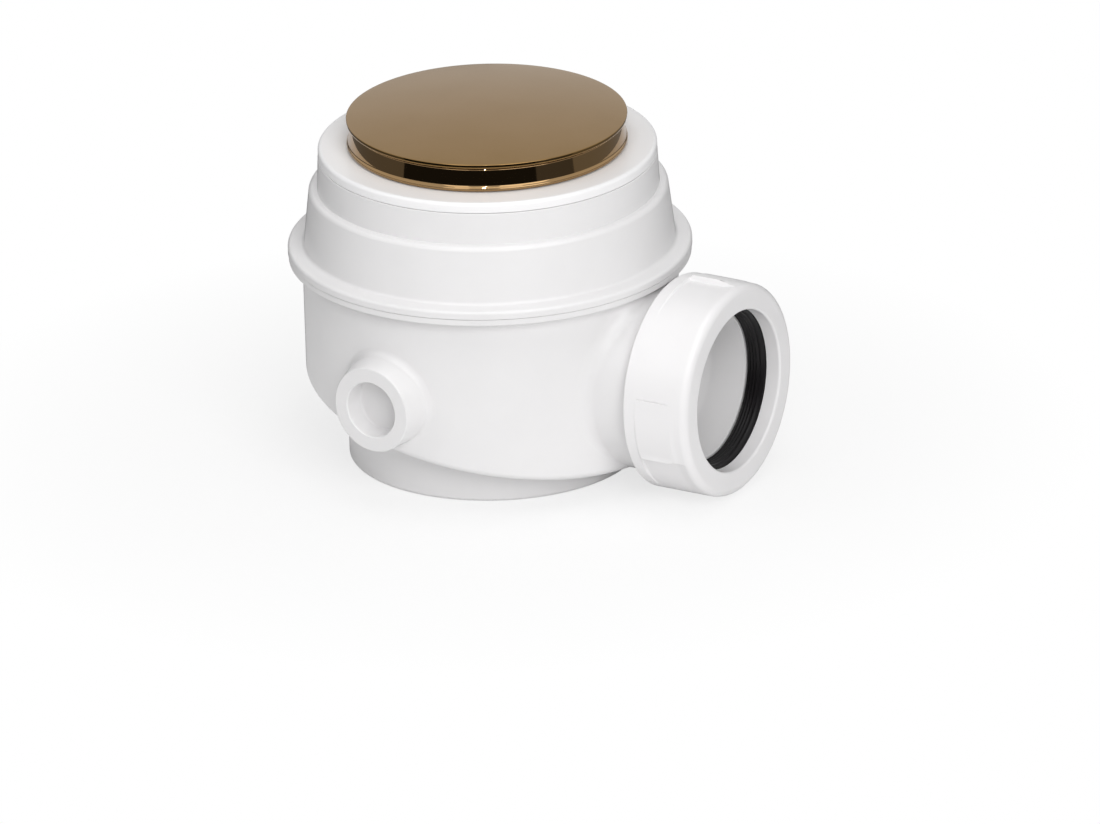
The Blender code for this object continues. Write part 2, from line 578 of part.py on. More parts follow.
def build_cartridge(carrier_foot, hole_top):
    """The latch that holds the plug down or up: barrel, stem, rotor, spring and end clip."""
    arm_top = TAIL_FOOT + ARM_HEIGHT
    lock_top = carrier_foot - TOUCH
    lock_foot = lock_top - LOCK_NUT_THICK
    barrel_top = lock_foot - CLICK_PLAY - TOUCH
    room_top = barrel_top - BARREL_TOP
    crown_top = room_top - TRAVEL - TOUCH
    crown_foot = crown_top - CROWN_HEIGHT
    rotor_top = crown_foot - TOUCH
    rotor_foot = rotor_top - ROTOR_HEIGHT
    spring_foot = rotor_foot - SPRING_LENGTH
    room = BARREL_RADIUS - BARREL_WALL
    barrel_foot = spring_foot - TOUCH - CLIP_THICK
    hole = STEM_RADIUS + SLIDE

    hexagon("lock_nut", LOCK_NUT_FLATS, lock_foot, lock_top, STEM_RADIUS + THREAD, brass)
    outline = [(hole, barrel_top), (hole, room_top), (room, room_top), (room, barrel_foot)]
    outline += [(BARREL_RADIUS, barrel_foot), (BARREL_RADIUS, barrel_top)]
    barrel = ring("cartridge_barrel", outline, STEPS_SMALL, brass)
    head_foot = arm_top + 2 * TOUCH
    head_bore = BARREL_RADIUS - BARREL_WALL / 2
    head = hexagon("barrel_head_tool", HEX_FLATS, head_foot, head_foot + HEX_THICK, head_bore, brass)
    combine(barrel, head, "UNION")

    reach = room - SLIDE
    rotor_bore = STEM_RADIUS / 2
    pin = rotor_bore - SLIDE

    def stem(angle):
        low = crown_foot + tooth_height(angle)
        points = [(0.0, rotor_foot), (pin, rotor_foot), (pin, crown_foot + TOOTH_HEIGHT), (STEM_RADIUS, low)]
        points += [(reach, low), (reach, crown_top), (STEM_RADIUS, crown_top)]
        points += [(STEM_RADIUS, hole_top - TOUCH), (0.0, hole_top - TOUCH)]
        return points
    turned("plug_stem", stem, even_angles(STEPS_SMALL), brass)

    def rotor(angle):
        top = rotor_top + tooth_height(angle)
        return [(rotor_bore, rotor_foot), (reach, rotor_foot), (reach, top), (rotor_bore, top)]
    turned("latch_rotor", rotor, even_angles(STEPS_SMALL), grey_plastic)

    build_spring(spring_foot, rotor_foot - TOUCH, room - SLIDE)
    clip = [(CLIP_BORE, barrel_foot), (room - TOUCH, barrel_foot), (room - TOUCH, barrel_foot + CLIP_THICK)]
    clip.append((CLIP_BORE, barrel_foot + CLIP_THICK))
    ring("barrel_end_clip", clip, STEPS_SMALL, steel)


def build_spring(low, high, reach):
    """A coil of round wire between two heights."""
    coil_radius = reach - WIRE_RADIUS
    route = bpy.data.curves.new("latch_spring", "CURVE")
    route.dimensions = "3D"
    route.bevel_depth = WIRE_RADIUS
    route.bevel_resolution = 1
    route.use_fill_caps = True
    count = SPRING_TURNS * COIL_STEPS
    line = route.splines.new("POLY")
    line.points.add(count)
    start = low + WIRE_RADIUS
    climb = high - low - 2 * WIRE_RADIUS
    for index, point in enumerate(line.points):
        angle = FULL_TURN * SPRING_TURNS * index / count
        height = start + climb * index / count
        point.co = (coil_radius * math.cos(angle), coil_radius * math.sin(angle), height, 1.0)
    route.materials.append(steel)
    spring = bpy.data.objects.new("latch_spring", route)
    bpy.context.scene.collection.objects.link(spring)


def grip_angles():
    """Angles round the nut: each side of a grip's step, along its ramp, then on to the next grip."""
    angles = []
    pitch = FULL_TURN / NUT_GRIPS
    ramp = (GRIP_ARC - GRIP_EDGE) / RAMP_STEPS
    plain = (pitch - GRIP_ARC) / PLAIN_STEPS
    for number in range(NUT_GRIPS):
        step = GRIP_PHASE - pitch * number
        angles.append(step)
        angles += [step - GRIP_EDGE - ramp * i for i in range(RAMP_STEPS)]
        angles += [step - GRIP_ARC - plain * i for i in range(PLAIN_STEPS)]
    return angles


def grip_offset(angle):
    """How far the nut's side stands out, or lies in, at an angle inside its grip band."""
    pitch = FULL_TURN / NUT_GRIPS
    turn = (GRIP_PHASE - angle) % pitch
    to_next = pitch - turn
    if turn < GRIP_EDGE / 2:
        return -GRIP_SCOOP
    if turn < GRIP_ARC:
        return GRIP_RISE * (GRIP_ARC - turn) / (GRIP_ARC - GRIP_EDGE)
    if to_next < SCOOP_ARC:
        return -GRIP_SCOOP * math.cos(math.pi / 2 * to_next / SCOOP_ARC) ** 2
    return 0.0


def build_outlet_nut():
    """The big nut with its ramped finger grips, and the lipped rubber seal behind its front."""
    back = NUT_FACE - NUT_LENGTH
    thread = OUTLET_THREAD + THREAD
    seat = NUT_FACE - NUT_FRONT
    clear_neck = NECK_RADIUS + TOUCH

    def outline(angle):
        lift = grip_offset(angle)
        points = [(thread, seat), (thread, back + 2 * NUT_EDGE), (clear_neck, back + TOUCH)]
        points += [(NUT_RADIUS - NUT_EDGE, back + TOUCH), (NUT_RADIUS, back + TOUCH + NUT_EDGE)]
        points.append((NUT_RADIUS, back + GRIP_START))
        points.append((NUT_RADIUS + lift, back + GRIP_START + NUT_EDGE))
        points.append((NUT_RADIUS + lift, NUT_FACE - GRIP_END - NUT_EDGE))
        points.append((NUT_RADIUS, NUT_FACE - GRIP_END))
        points += arc((NUT_RADIUS - NUT_ROUND, NUT_FACE - NUT_ROUND), NUT_ROUND, 0, 90, 3)
        points += arc((NUT_MOUTH + MOUTH_ROUND, NUT_FACE - MOUTH_ROUND), MOUTH_ROUND, 90, 180, 2)
        points.append((NUT_MOUTH, seat))
        return points
    turned("outlet_nut", outline, grip_angles(), white_plastic, lying(OUTLET_FACING))

    face = seat - TOUCH
    shoulder = face - SEAL_FLANGE
    end = shoulder - SEAL_SKIRT
    skirt = OUTLET_THREAD - SEAL_WALL - 2 * TOUCH
    inner = PIPE_RADIUS + TOUCH + SEAL_LIP_HEIGHT
    outline = [(OUTLET_THREAD, face), (OUTLET_THREAD, shoulder), (skirt, shoulder), (skirt, end)]
    lip_pitch = SEAL_SKIRT / SEAL_LIPS
    for number in range(SEAL_LIPS):
        foot = end + lip_pitch * number
        outline.append((inner - SEAL_LIP_HEIGHT, foot))
        outline.append((inner, foot + lip_pitch * SEAL_LIP_SHARE))
    outline.append((inner + SEAL_LIP_HEIGHT, face))
    ring("outlet_seal", outline, STEPS_MEDIUM, black_rubber, lying(OUTLET_FACING))


build_trap_body()
build_trap_cover()
build_inlet_tube()
build_bath_washer()
build_waste_flange()
carrier_underside, stem_end = build_plug()
build_cartridge(carrier_underside, stem_end)
build_outlet_nut()
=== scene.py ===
"""The looks of the bath trap, round its solids. Lengths are in metres, and +Z is up."""
import json
import math

import bmesh
import bpy
from mathutils import Matrix, Vector


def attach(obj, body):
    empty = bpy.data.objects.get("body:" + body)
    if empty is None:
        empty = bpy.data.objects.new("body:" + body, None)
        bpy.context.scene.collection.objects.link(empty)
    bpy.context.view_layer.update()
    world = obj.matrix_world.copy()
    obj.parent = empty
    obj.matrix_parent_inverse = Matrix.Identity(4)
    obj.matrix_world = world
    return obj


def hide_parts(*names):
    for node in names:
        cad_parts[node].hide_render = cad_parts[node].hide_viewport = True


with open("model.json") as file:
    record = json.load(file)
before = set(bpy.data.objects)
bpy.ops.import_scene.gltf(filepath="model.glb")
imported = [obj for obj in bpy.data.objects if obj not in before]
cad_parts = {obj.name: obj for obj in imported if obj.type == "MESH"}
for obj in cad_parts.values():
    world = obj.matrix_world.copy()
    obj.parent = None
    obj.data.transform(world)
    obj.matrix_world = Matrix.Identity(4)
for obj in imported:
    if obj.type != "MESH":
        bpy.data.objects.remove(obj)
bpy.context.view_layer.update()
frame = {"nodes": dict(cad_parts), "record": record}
NODES = frame["nodes"]

FULL_TURN = 2 * math.pi
FINE = 192              # steps in a full turn of a large piece
FAIR = 96               # and of a small one
WALL_ROWS = 20          # in the height of the pot's wall
CURVE_STEPS = 24        # in the crown of the cap and in a reflected card
TOUCH = 0.0003          # gap between two pieces where nothing shows it
SEAM = 0.00016          # gap left between two pieces that are pressed together
SOFT = 0.00010          # rounding of the edges that meet at a seam

# Sizes
PIPE_RADIUS = 0.0200
OUTLET_THREAD = PIPE_RADIUS + 0.0039
WASTE_THREAD = 0.0239
WALL = 0.0026
NECK_RADIUS = OUTLET_THREAD + 0.0012
NECK_FILLET = 0.0050
NECK_EDGE = 0.0004
THREAD_ROUND = 0.0006
SMALLEST_BLEND = 0.0002
LEAST_RISE = 0.02       # keeps the room beside a branch finite
BLEND_ROUNDS = 20       # in which a branch's root settles on the round wall
OUTLET_BORE = PIPE_RADIUS - 0.0018
NUT_RADIUS = OUTLET_THREAD + 0.0049
OUTLET_HEIGHT = 0.0297
POT_HEIGHT = OUTLET_HEIGHT + NECK_RADIUS + 0.0028
WEIR_TOP = POT_HEIGHT + 0.0044
WEIR_DRAFT = math.radians(0.4)
POT_RADIUS = 0.0500
POT_DRAFT = math.radians(0.3)
POT_FLANGE_RADIUS = POT_RADIUS + 0.0036
POT_FLANGE_THICK = 0.0017
CUP_RADIUS = POT_RADIUS - WALL - 0.0085
CUP_FLOOR = 0.0026
FOOT_RIM = 0.0060       # width of the ring that the foot stands on
DISH_DEPTH = 0.0006
FOOT_ROUND = 0.0010
FLOOR_SLOPE = math.radians(11.3)
FLOOR_MIDDLE = OUTLET_HEIGHT - OUTLET_BORE - 0.0059 + POT_RADIUS * math.tan(FLOOR_SLOPE)
FLOOR_ROUND = 0.0022
POT_ROOT = 0.0005       # where the cup, the floor and the flange leave the wall
POT_EDGE = 0.0003
PIPE_STOP = POT_RADIUS + 0.0060
STOP_LENGTH = 0.0070    # in which the socket narrows
BORE_START = 0.0008     # from the cup to the outlet's bore
NUT_FACE = PIPE_STOP + 0.0197
NUT_LENGTH = 0.0195
SEAL_SEAT = NUT_FACE - 0.0058
NUT_FRONT = 0.0042      # from the face to the seal
NUT_ROUND = 0.0022
NUT_EDGE = 0.0006
NUT_MOUTH = PIPE_RADIUS + 0.0019
MOUTH_ROUND = 0.0007
NUT_GRIPS = 3
GRIP_RISE = 0.0004
GRIP_SCOOP = 0.0007
GRIP_ARC = math.radians(36)
SCOOP_ARC = math.radians(42)
GRIP_EDGE = math.radians(1.3)
GRIP_PHASE = math.radians(-64)
EDGE_STEPS = 12         # across a grip's step
GRIP_MARK = math.radians(0.4)
MARK_DEPTH = 0.00035
GRIP_BEAD = math.radians(1.0)
BEAD_HEIGHT = 0.0004
SOFT_SHARES = (0.0, 0.15, 0.3, 0.5, 0.7, 0.85, 1.0)
GRIP_START = 0.0036
GRIP_END = 0.0030
GRIP_FADE = 0.0018
SCOOP_FADE = 0.0040
FADE_STEP = 0.0004      # between the rows in which a grip fades
FADE_STEPS = 8
MARK_START = 0.0009
MARK_END = 0.0090
MARK_FADE = 0.0013
POCKET_SIZE = (0.0005, 0.0022, 0.0020)
POCKET_TURN = math.radians(-13)
POCKET_INSET = 0.0012
SEAL_SKIRT = 0.0036
SEAL_WALL = 0.0014
SEAL_LIPS = 4
SEAL_LIP_HEIGHT = 0.0005
BOSS_RADIUS = 0.0118
BOSS_BORE = BOSS_RADIUS - 0.0041
BOSS_FACE = POT_RADIUS + 0.0060
BOSS_DEPTH = 0.0060
BOSS_FLARE = 0.0013
BOSS_FILLET = 0.0026
BOSS_EDGE = 0.0005
BLIND_ROUND = 0.0008
BLIND_DRAFT = 0.0001
BLIND_LIP = 0.0002
BOSS_FACING = math.radians(-95)
COVER_FOOT = POT_HEIGHT + TOUCH
COVER_FLANGE_RADIUS = POT_FLANGE_RADIUS + 0.0002
COVER_FLANGE_THICK = 0.0021
TONGUE_DEPTH = 0.0040   # how far the cover reaches into the pot
TONGUE_WALL = 0.0013
CONE_FOOT_RADIUS = POT_RADIUS - 0.0006
CONE_TOP_RADIUS = CONE_FOOT_RADIUS - 0.0015
CONE_HEIGHT = 0.0180
DECK_RADIUS = CONE_TOP_RADIUS - 0.0027
DECK_TOP = COVER_FOOT + 0.0266
DECK_THICK = 0.0024
DECK_ROOT = ((0.0003, 0.00002), (0.0001, 0.00005), (0.0, 0.0002))   # outward and upward
HUB_WALL = 0.0030
HUB_FOOT = DECK_TOP - 0.0190
SHOULDER_TOP = HUB_FOOT + 0.0024
TUBE_RADIUS = WASTE_THREAD - 0.0031
TUBE_WALL = 0.0018
TUBE_FOOT = WEIR_TOP - 0.0500
TUBE_RIM_FOOT = SHOULDER_TOP + TOUCH
TUBE_TOP = TUBE_RIM_FOOT + 0.0016
WASHER_TOP = DECK_TOP + TOUCH + 0.0026
WASHER_RADIUS = DECK_RADIUS - 0.0001
FLANGE_FOOT = WASHER_TOP + TOUCH
COLLAR_RADIUS = WASTE_THREAD + 0.0127
COLLAR_WALL = 0.0020
FLANGE_RADIUS = COLLAR_RADIUS + 0.0008
FLANGE_LIP = 0.0017
LIP_TOP = FLANGE_FOOT + FLANGE_LIP
COLLAR_TOP = LIP_TOP + 0.0042
TAIL_FOOT = TUBE_TOP + 2 * TOUCH + 0.0018
TAIL_BORE = WASTE_THREAD - 0.0027
GROOVE_INNER = WASTE_THREAD + 0.0036
GROOVE_WIDTH = 0.0055
GROOVE_TOP = FLANGE_FOOT + 0.0014
BOWL_THROAT = GROOVE_TOP + 0.0012
BOWL_FALL = 0.0010
ARM_WIDTH = 0.0032
ARM_HEIGHT = 0.0060
ARM_ROOTS = 0.0027      # what both ends of an arm reach into the wall
BARREL_RADIUS = 0.0070
SOCKET = BARREL_RADIUS + TOUCH + 0.0026
STEM_RADIUS = 0.0030
CAP_FOOT = COLLAR_TOP + TOUCH
CAP_RADIUS = COLLAR_RADIUS + 0.0008
CAP_EDGE = 0.0014
CAP_RIM_TOP = CAP_FOOT + CAP_EDGE
CAP_CROWN = 0.0023
CAP_ROUND = 0.0004
CAP_BOSS_RADIUS = 0.0056
CARRIER_RADIUS = COLLAR_RADIUS - 0.0076
CARRIER_GRIP = 0.0010
PLUG_SEAL_WIDTH = 0.0052
PLUG_SEAL_THICK = 0.0016


def arc(centre, radius, start, end, steps=6):
    """Points on a circle in the profile's plane, from one angle to another, in degrees."""
    turns = [math.radians(start + (end - start) * i / steps) for i in range(steps + 1)]
    return [(centre[0] + radius * math.cos(t), centre[1] + radius * math.sin(t)) for t in turns]


def even_angles(steps):
    """Angles that share a full turn evenly."""
    return [FULL_TURN * i / steps for i in range(steps)]


def eased(share):
    """A step from 0 to 1 with soft ends."""
    share = min(max(share, 0.0), 1.0)
    return share * share * (3 - 2 * share)


def as_object(name, shape, lie=None, sharp=35):
    """Store a bmesh as an object, smooth up to its sharp edges."""
    mesh = bpy.data.meshes.new(name)
    shape.to_mesh(mesh)
    shape.free()
    if lie is not None:
        mesh.transform(lie)
    mesh.shade_smooth()
    mesh.set_sharp_from_angle(angle=math.radians(sharp))
    thing = bpy.data.objects.new(name, mesh)
    bpy.context.scene.collection.objects.link(thing)
    return thing


def turned(name, outline_at, angles, lie=None):
    """Turn a profile about Z. outline_at gives the (radius, height) points at an angle."""
    shape = bmesh.new()
    columns = []
    poles = {}
    for angle in angles:
        column = []
        for row, (radius, height) in enumerate(outline_at(angle)):
            if radius == 0.0:
                if row not in poles:
                    poles[row] = shape.verts.new((0.0, 0.0, height))
                column.append(poles[row])
            else:
                column.append(shape.verts.new((radius * math.cos(angle), radius * math.sin(angle), height)))
        columns.append(column)
    rows = len(columns[0])
    spans = rows - 1 if poles else rows
    for index, column in enumerate(columns):
        beside = columns[(index + 1) % len(columns)]
        for row in range(spans):
            above = (row + 1) % rows
            corners = []
            for vertex in (column[row], column[above], beside[above], beside[row]):
                if vertex not in corners:
                    corners.append(vertex)
            shape.faces.new(corners)
    bmesh.ops.recalc_face_normals(shape, faces=shape.faces)
    return as_object(name, shape, lie)


def ring(name, outline, steps=FINE, lie=None):
    """Turn one profile evenly."""
    return turned(name, lambda angle: outline, even_angles(steps), lie)


def block(name, size, centre, turn=None):
    """A box, which a matrix may turn."""
    shape = bmesh.new()
    bmesh.ops.create_cube(shape, size=1.0)
    lie = Matrix.Translation(centre) @ Matrix.Diagonal((*size, 1.0))
    return as_object(name, shape, lie if turn is None else turn @ lie)


def combine(thing, tool, operation, sharp=35):
    """Join a tool to a piece or cut it away, and drop the tool."""
    step = thing.modifiers.new("step", "BOOLEAN")
    step.object = tool
    step.operation = operation
    step.solver = "EXACT"
    graph = bpy.context.evaluated_depsgraph_get()
    result = bpy.data.meshes.new_from_object(thing.evaluated_get(graph))
    thing.modifiers.clear()
    thing.data = result
    bpy.data.objects.remove(tool, do_unlink=True)
    result.shade_smooth()
    result.set_sharp_from_angle(angle=math.radians(sharp))


def place(piece, body, node, finish):
    """Make a piece stand for a node, and give it its material."""
    piece.data.materials.clear()
    piece.data.materials.append(finish)
    even = piece.modifiers.new("even", "WEIGHTED_NORMAL")
    even.keep_sharp = True
    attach(piece, body)
    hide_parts(node)


# Materials
SATIN_START = 0.0001    # height in which the satin sets in
PAINTED_SHADE_START = 0.88        # where the painted shade starts, from 0 facing the eye to 1 edge on
PAINTED_SHADE_FULL = 0.99
# near-black that is painted into the colour as shade where a surface turns edge-on to the eye
PAINTED_SHADE_COLOUR = (0.02, 0.02, 0.02, 1.0)
RELIEF_DEPTH = 0.0002


def new_material(name):
    """A node material, its Principled shader and a helper that adds nodes."""
    material = bpy.data.materials.new(name)
    material.use_nodes = True
    tree = material.node_tree
    shader = tree.nodes["Principled BSDF"]

    def add(kind, **inputs):
        node = tree.nodes.new(kind)
        for key, value in inputs.items():
            node.inputs[key.replace("_", " ")].default_value = value
        return node
    return material, tree, shader, add


def ramp(add, positions):
    """A colour ramp with the given (position, colour) stops."""
    node = add("ShaderNodeValToRGB")
    stops = node.color_ramp.elements
    while len(stops) < len(positions):
        stops.new(0.5)
    for stop, (position, colour) in zip(stops, positions):
        stop.position = position
        stop.color = (*colour, 1.0)
    return node


def mottled(name, dark, light, rough, grain, scale=60.0, bump=0.02, metallic=0.0, satin=None, shine=0.5,
            painted_edge_shade=0.0):
    """A surface whose colour, gloss and height vary a little, as moulded and cast surfaces do.

    satin gives a height above which the surface is duller, and how dull it is there. shine is the
    strength of the gloss. The last argument gives the strength of a painted shade, which darkens the
    colour and takes the gloss away where the surface turns away from the eye.
    """
    material, tree, shader, add = new_material(name)
    link = tree.links.new
    where = add("ShaderNodeTexCoord")
    cloud = add("ShaderNodeTexNoise", Scale=scale, Detail=3.0, Roughness=0.55)
    speck = add("ShaderNodeTexNoise", Scale=grain, Detail=2.0, Roughness=0.6)
    link(where.outputs["Object"], cloud.inputs["Vector"])
    link(where.outputs["Object"], speck.inputs["Vector"])
    tint = ramp(add, [(0.3, dark), (0.7, light)])
    link(cloud.outputs["Fac"], tint.inputs["Fac"])
    colour = tint.outputs["Color"]
    shader.inputs["Specular IOR Level"].default_value = shine
    # Painted shade: where the surface turns edge-on to the eye, the colour is mixed towards near-black and
    # the gloss is lowered.
    if painted_edge_shade:
        turning = add("ShaderNodeLayerWeight", Blend=0.5)
        edge = add("ShaderNodeMapRange")
        edge.inputs["From Min"].default_value = PAINTED_SHADE_START
        edge.inputs["From Max"].default_value = PAINTED_SHADE_FULL
        edge.inputs["To Max"].default_value = painted_edge_shade
        link(turning.outputs["Facing"], edge.inputs["Value"])
        painted_shade_mix = add("ShaderNodeMix")
        painted_shade_mix.data_type = "RGBA"
        painted_shade_mix.inputs["B"].default_value = PAINTED_SHADE_COLOUR
        link(edge.outputs["Result"], painted_shade_mix.inputs["Factor"])
        link(colour, painted_shade_mix.inputs["A"])
        colour = painted_shade_mix.outputs["Result"]
        lustre = add("ShaderNodeMapRange")
        lustre.inputs["To Min"].default_value = shine
        lustre.inputs["To Max"].default_value = 0.0
        link(edge.outputs["Result"], lustre.inputs["Value"])
        link(lustre.outputs["Result"], shader.inputs["Specular IOR Level"])
    link(colour, shader.inputs["Base Color"])
    gloss = add("ShaderNodeMapRange")
    gloss.inputs["To Min"].default_value = rough[0]
    gloss.inputs["To Max"].default_value = rough[1]
    link(speck.outputs["Fac"], gloss.inputs["Value"])
    roughness = gloss.outputs["Result"]
    if satin is not None:
        parts = add("ShaderNodeSeparateXYZ")
        link(where.outputs["Object"], parts.inputs["Vector"])
        above = add("ShaderNodeMapRange")
        above.inputs["From Min"].default_value = satin[0]
        above.inputs["From Max"].default_value = satin[0] + SATIN_START
        above.inputs["To Max"].default_value = satin[1]
        link(parts.outputs["Z"], above.inputs["Value"])
        total = add("ShaderNodeMath")
        total.operation = "ADD"
        link(roughness, total.inputs[0])
        link(above.outputs["Result"], total.inputs[1])
        roughness = total.outputs["Value"]
    link(roughness, shader.inputs["Roughness"])
    relief = add("ShaderNodeBump", Strength=bump, Distance=RELIEF_DEPTH)
    link(speck.outputs["Fac"], relief.inputs["Height"])
    link(relief.outputs["Normal"], shader.inputs["Normal"])
    shader.inputs["Metallic"].default_value = metallic
    return material


# The three white plastics carry a painted shade: their colour is painted darker where they turn edge-on to
# the eye.
white_plastic = mottled("white_plastic", (0.79, 0.782, 0.785), (0.81, 0.802, 0.805), (0.28, 0.36), 900.0,
                        painted_edge_shade=0.6)
nut_plastic = mottled("nut_plastic", (0.83, 0.82, 0.825), (0.85, 0.84, 0.845), (0.26, 0.34), 900.0, painted_edge_shade=0.6)
washer_plastic = mottled("washer_plastic", (0.90, 0.895, 0.90), (0.92, 0.915, 0.92), (0.32, 0.42), 1200.0,
                         painted_edge_shade=0.6)
cap_bronze = mottled("cap_bronze", (0.243, 0.146, 0.052), (0.258, 0.158, 0.062), (0.05, 0.08), 1500.0,
                     bump=0.01, metallic=1.0, satin=(CAP_RIM_TOP - 0.00003, 0.16))
polished_bronze = mottled("polished_bronze", (0.33, 0.21, 0.10), (0.35, 0.225, 0.11), (0.04, 0.07), 700.0,
                          bump=0.004, metallic=1.0)
black_rubber = mottled("black_rubber", (0.004, 0.0035, 0.004), (0.008, 0.007, 0.008), (0.26, 0.4), 1800.0,
                       bump=0.05, shine=0.24)
brass = mottled("brass", (0.58, 0.42, 0.19), (0.64, 0.47, 0.22), (0.24, 0.36), 1400.0, metallic=1.0)
steel = mottled("steel", (0.52, 0.52, 0.52), (0.60, 0.60, 0.60), (0.22, 0.34), 1400.0, metallic=1.0)
grey_plastic = mottled("grey_plastic", (0.22, 0.23, 0.24), (0.27, 0.28, 0.29), (0.38, 0.5), 1200.0, bump=0.05)
FINISHES = {"white_plastic": white_plastic, "washer_plastic": washer_plastic, "bronze": polished_bronze,
            "black_rubber": black_rubber, "brass": brass, "steel": steel, "grey_plastic": grey_plastic}

for part in frame["record"]["subparts"]:
    for holder in NODES[part["node"]].material_slots:
        holder.material = FINISHES[part["material_slot"]]


# Trap body
def lying(facing):
    """Lay a turned piece's axis level, at the outlet's height, facing an angle round the trap."""
    raised = Matrix.Translation((0, 0, OUTLET_HEIGHT))
    return Matrix.Rotation(facing, 4, "Z") @ raised @ Matrix.Rotation(math.pi / 2, 4, "Y")


TO_OUTLET = lying(0.0)
TO_BOSS = lying(BOSS_FACING)


def pot_radius(height):
    """Outside of the pot's wall, which tapers towards the foot."""
    return POT_RADIUS - (POT_HEIGHT - height) * math.tan(POT_DRAFT)


def floor_height(radius, angle):
    """Underside of the pot's floor, which falls towards the outlet."""
    return FLOOR_MIDDLE - radius * math.cos(angle) * math.tan(FLOOR_SLOPE)


def pot_outline(angle):
    """The hollow pot, from the foot's middle round the outside and back over the weir."""
    wall_foot = pot_radius(floor_height(POT_RADIUS, angle))
    floor_edge = floor_height(wall_foot - FLOOR_ROUND, angle)
    lean = math.degrees(math.atan(math.cos(angle) * math.tan(FLOOR_SLOPE)))
    round_centre = (wall_foot - FLOOR_ROUND, floor_edge + FLOOR_ROUND / math.cos(math.radians(lean)))
    flange_foot = POT_HEIGHT - POT_FLANGE_THICK
    dish = CUP_RADIUS - FOOT_RIM
    points = [(0.0, DISH_DEPTH), (dish - DISH_DEPTH, DISH_DEPTH)]
    points += arc((dish, DISH_DEPTH), DISH_DEPTH, 180, 270, 4)[1:]
    points += arc((CUP_RADIUS - FOOT_ROUND, FOOT_ROUND), FOOT_ROUND, -90, 0)
    points.append((CUP_RADIUS, floor_height(CUP_RADIUS, angle) - POT_ROOT))
    points.append((CUP_RADIUS + POT_ROOT, floor_height(CUP_RADIUS + POT_ROOT, angle)))
    points += arc(round_centre, FLOOR_ROUND, -90 - lean, 0, 8)
    low = round_centre[1]
    for row in range(1, WALL_ROWS + 1):
        height = low + (flange_foot - POT_ROOT - low) * row / WALL_ROWS
        points.append((pot_radius(height), height))
    points.append((pot_radius(flange_foot) + POT_ROOT, flange_foot))
    points += arc((POT_FLANGE_RADIUS - POT_EDGE, flange_foot + POT_EDGE), POT_EDGE, -90, 0, 4)
    points += arc((POT_FLANGE_RADIUS - SOFT, POT_HEIGHT - SOFT), SOFT, 0, 90, 3)

    floor_rise = WALL / math.cos(FLOOR_SLOPE)
    chamber_floor = floor_height(CUP_RADIUS, angle) + floor_rise
    weir = CUP_RADIUS - (WEIR_TOP - chamber_floor) * math.tan(WEIR_DRAFT)
    cup = CUP_RADIUS - WALL
    points.append((pot_radius(POT_HEIGHT) - WALL, POT_HEIGHT))
    points.append((wall_foot - WALL, floor_height(wall_foot - WALL, angle) + floor_rise + POT_ROOT))
    points.append((wall_foot - WALL - POT_ROOT, floor_height(wall_foot - WALL, angle) + floor_rise))
    points.append((CUP_RADIUS, chamber_floor))
    points += arc((weir - POT_EDGE, WEIR_TOP - POT_EDGE), POT_EDGE, 0, 90, 3)
    points += arc((cup + POT_EDGE, WEIR_TOP - POT_EDGE), POT_EDGE, 90, 180, 3)
    points += [(cup, CUP_FLOOR + FOOT_ROUND), (cup - FOOT_ROUND, CUP_FLOOR), (0.0, CUP_FLOOR)]
    return points


def branch(name, facing, end_radius, flare, fillet, reach, edge, steps):
    """A round neck that grows out of the pot's wall with a root that is blended least below."""
    headroom = POT_HEIGHT - POT_FLANGE_THICK - OUTLET_HEIGHT
    legroom = OUTLET_HEIGHT - floor_height(POT_RADIUS, facing) - FLOOR_ROUND

    def outline(angle):
        rise = -math.cos(angle)
        sideways = math.sin(angle) ** 2
        radius = end_radius + flare * eased(rise + 1)
        wall = pot_radius(OUTLET_HEIGHT + radius * rise)
        room = (headroom if rise > 0 else legroom) / max(abs(rise), LEAST_RISE)
        wanted = SMALLEST_BLEND + (fillet - SMALLEST_BLEND) * eased(rise + 1)
        blend = max(min(wanted, room - radius), SMALLEST_BLEND)
        foot = radius + blend
        for _ in range(BLEND_ROUNDS):
            out = math.sqrt(wall ** 2 - foot ** 2 * sideways)
            slope = foot * sideways / out
            length = math.hypot(1.0, slope)
            foot = radius + blend - blend * slope / length
        centre = (radius + blend, out + blend / length)
        meeting = math.degrees(math.atan2(-1.0, -slope))
        points = []
        for inner in (0.0, foot / 3, foot * 2 / 3, foot):
            points.append((inner, math.sqrt((wall - WALL / 2) ** 2 - inner ** 2 * sideways)))
        points += arc(centre, blend, meeting + 360, 180, 12)
        points += arc((end_radius - edge, reach - edge), edge, 0, 90, 4)
        points.append((0.0, reach))
        return points
    return turned(name, outline, even_angles(steps), lying(facing))


